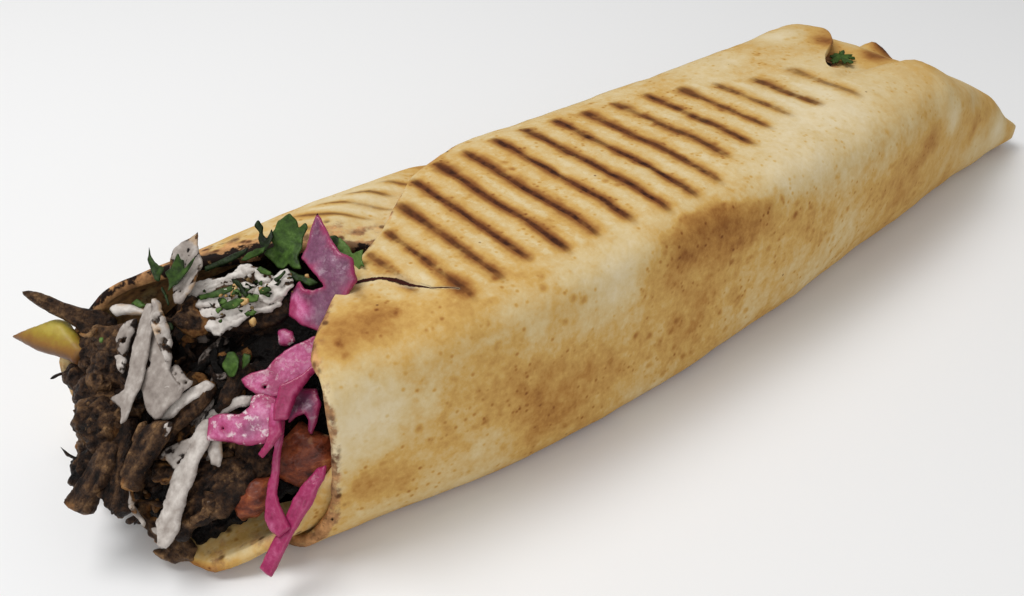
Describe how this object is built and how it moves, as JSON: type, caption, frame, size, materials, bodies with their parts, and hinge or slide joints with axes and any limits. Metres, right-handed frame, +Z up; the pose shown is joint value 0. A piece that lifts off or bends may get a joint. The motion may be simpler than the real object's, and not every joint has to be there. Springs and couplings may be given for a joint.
{
  "type": "doner kebab wrap",
  "caption": "Rolled flatbread pressed flat on a ribbed grill, open at one end on shaved meat with red cabbage, parsley, tomato and a pickled pepper, and pinched shut at the other.",
  "frame": {"origin": "on the flat underside, near the middle of the roll's length and width", "axes": "+X along the roll from its open end to its pinched end, +Y towards the long edge of the sheet, +Z up"},
  "size_m": [0.2713, 0.0687, 0.0496],
  "materials": {
    "flatbread": "dry baked bread with toasted patches and dark grill marks",
    "meat": "browned roast meat with thin white sauce",
    "red_cabbage": "wet pickled leaf",
    "parsley": "fresh leaf",
    "tomato": "wet cut tomato",
    "pickled_pepper": "wet pickled skin"
  },
  "bodies": {
    "root": {"flatbread": "flatbread", "meat_filling": "meat", "red_cabbage_1": "red_cabbage", "red_cabbage_2": "red_cabbage", "red_cabbage_3": "red_cabbage", "red_cabbage_4": "red_cabbage", "red_cabbage_5": "red_cabbage", "red_cabbage_6": "red_cabbage", "red_cabbage_7": "red_cabbage", "red_cabbage_8": "red_cabbage", "parsley_1": "parsley", "parsley_2": "parsley", "parsley_3": "parsley", "parsley_4": "parsley", "parsley_5": "parsley", "parsley_6": "parsley", "tomato_1": "tomato", "tomato_2": "tomato", "pickled_pepper": "pickled_pepper"}
  },
  "joints": []
}
